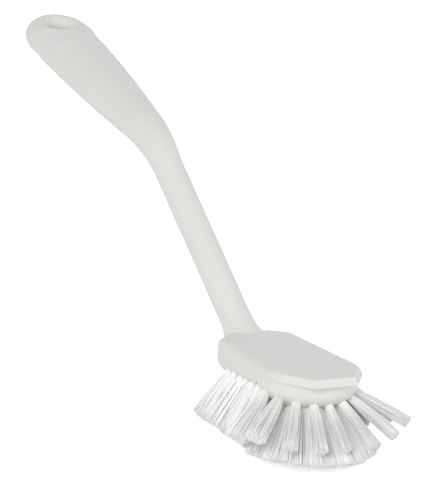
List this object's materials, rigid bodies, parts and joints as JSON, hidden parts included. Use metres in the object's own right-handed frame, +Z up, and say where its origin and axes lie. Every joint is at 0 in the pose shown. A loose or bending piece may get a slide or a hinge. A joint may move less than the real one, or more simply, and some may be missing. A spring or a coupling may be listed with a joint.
{
  "type": "dish brush",
  "caption": "Long-handled dish brush: white moulded body with bent neck, scraper lip and hang hole, and splayed filament tufts held by anchor plates.",
  "frame": {"origin": "middle of the bounding box in plan, at the height of the lowest filament ends", "axes": "+X along the brush towards the nose, +Y to the left of the nose, +Z up with the filaments pointing down"},
  "size_m": [0.284, 0.0766, 0.1349],
  "materials": {
    "body": "satin moulded polypropylene, slightly warm white",
    "filament": "white polyester filaments, slightly translucent",
    "anchor": "plain stainless strip"
  },
  "bodies": {
    "root": {"anchors_centre": "anchor", "anchors_outer": "anchor", "anchors_second": "anchor", "anchors_third": "anchor", "brush_body": "body", "tuft_centre_01": "filament", "tuft_centre_02": "filament", "tuft_centre_03": "filament", "tuft_centre_04": "filament", "tuft_centre_05": "filament", "tuft_outer_01": "filament", "tuft_outer_02": "filament", "tuft_outer_03": "filament", "tuft_outer_04": "filament", "tuft_outer_05": "filament", "tuft_outer_06": "filament", "tuft_outer_07": "filament", "tuft_outer_08": "filament", "tuft_outer_09": "filament", "tuft_outer_10": "filament", "tuft_outer_11": "filament", "tuft_outer_12": "filament", "tuft_outer_13": "filament", "tuft_outer_14": "filament", "tuft_outer_15": "filament", "tuft_outer_16": "filament", "tuft_outer_17": "filament", "tuft_outer_18": "filament", "tuft_outer_19": "filament", "tuft_outer_20": "filament", "tuft_outer_21": "filament", "tuft_outer_22": "filament", "tuft_outer_23": "filament", "tuft_second_01": "filament", "tuft_second_02": "filament", "tuft_second_03": "filament", "tuft_second_04": "filament", "tuft_second_05": "filament", "tuft_second_06": "filament", "tuft_second_07": "filament", "tuft_second_08": "filament", "tuft_second_09": "filament", "tuft_second_10": "filament", "tuft_second_11": "filament", "tuft_second_12": "filament", "tuft_second_13": "filament", "tuft_second_14": "filament", "tuft_second_15": "filament", "tuft_second_16": "filament", "tuft_second_17": "filament", "tuft_second_18": "filament", "tuft_third_01": "filament", "tuft_third_02": "filament", "tuft_third_03": "filament", "tuft_third_04": "filament", "tuft_third_05": "filament", "tuft_third_06": "filament", "tuft_third_07": "filament", "tuft_third_08": "filament", "tuft_third_09": "filament"}
  },
  "joints": []
}
